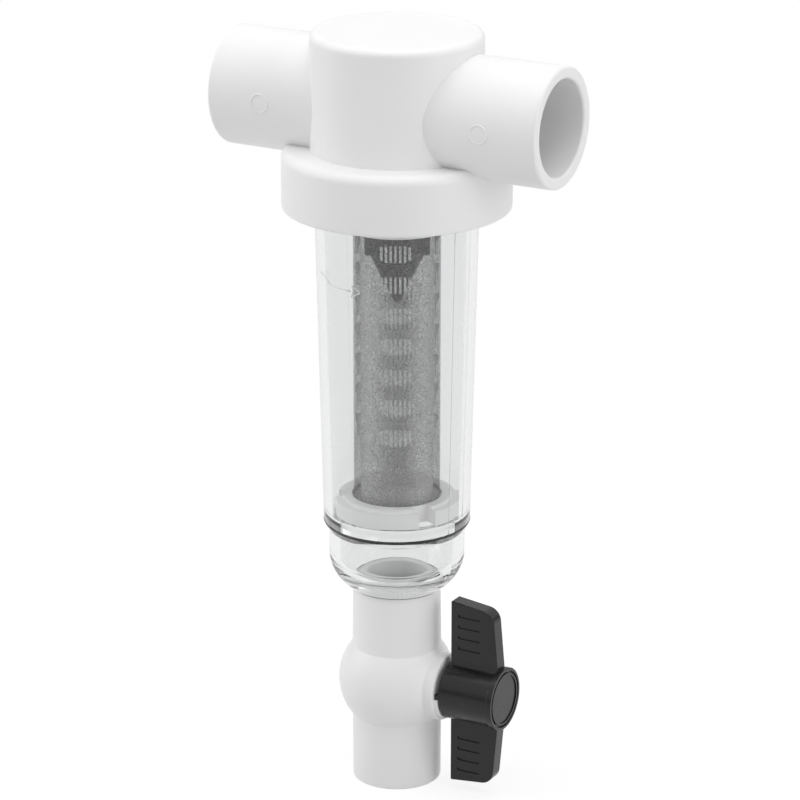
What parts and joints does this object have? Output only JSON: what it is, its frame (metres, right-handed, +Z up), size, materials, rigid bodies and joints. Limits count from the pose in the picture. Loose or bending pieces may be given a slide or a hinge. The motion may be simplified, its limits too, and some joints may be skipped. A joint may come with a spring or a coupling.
{
  "type": "sediment filter",
  "caption": "In-line sediment filter: plastic tee head, clear screw-on bowl with a mesh screen on a slotted core, and a quarter-turn drain valve below.",
  "frame": {"origin": "where the pipe line's axis crosses the bowl's axis, at the centre of the tee head", "axes": "+X along the pipe line towards the outlet, the drain handle's side; +Z up along the bowl's axis"},
  "size_m": [0.127, 0.0802, 0.2768],
  "materials": {
    "white_pvc": "satin moulded PVC",
    "clear_plastic": "clear moulded plastic",
    "white_plastic": "natural moulded polypropylene",
    "steel_mesh": "fine woven wire mesh",
    "seal_rubber": "smooth rubber",
    "seat_white": "waxy white sealing plastic",
    "black_plastic": "black moulded plastic, semi-gloss"
  },
  "bodies": {
    "head": {"head_body": "white_pvc", "outlet_tube": "white_pvc"},
    "swirl": {"swirl_ring": "white_plastic"},
    "screen": {"screen_neck": "white_plastic", "screen_seal_ring": "seal_rubber", "screen_core": "clear_plastic", "screen_mesh": "steel_mesh", "screen_seam": "steel_mesh", "flow_cone": "black_plastic", "screen_cap": "white_plastic", "screen_foot": "white_plastic"},
    "seal": {"bowl_seal_ring": "seal_rubber"},
    "bowl": {"bowl": "clear_plastic", "drain_nipple": "white_pvc", "valve_body": "white_pvc", "valve_end_carrier": "white_pvc", "ball_seat_upper": "seat_white", "ball_seat_lower": "seat_white", "seat_cushion_upper": "seal_rubber", "seat_cushion_lower": "seal_rubber"},
    "handle": {"valve_handle": "black_plastic", "valve_stem": "black_plastic", "valve_ball": "white_pvc", "stem_seal_inner": "seal_rubber", "stem_seal_outer": "seal_rubber"}
  },
  "joints": [
    {"name": "screen_pull_out", "type": "slide", "parent": "head", "child": "swirl", "axis": [0, 0, -1], "range_m": [0, 0.05]},
    {"name": "thread_travel", "type": "slide", "parent": "swirl", "child": "screen", "axis": [0, 0, -1], "range_m": [0, 0.0091]},
    {"name": "bowl_pull_off", "type": "slide", "parent": "screen", "child": "seal", "axis": [0, 0, -1], "range_m": [0, 0.15]},
    {"name": "bowl_unscrew", "type": "hinge", "parent": "seal", "child": "bowl", "pos_m": [0, 0, -0.1], "axis": [0, 0, -1], "range_deg": [0, 1080]},
    {"name": "valve_handle", "type": "hinge", "parent": "bowl", "child": "handle", "pos_m": [0.02, 0, -0.2126], "axis": [1, 0, 0], "range_deg": [-90, 0]}
  ],
  "couplings": [
    {"joint": "thread_travel", "follows": "bowl_unscrew", "m_per_rad": 0.0004775}
  ]
}
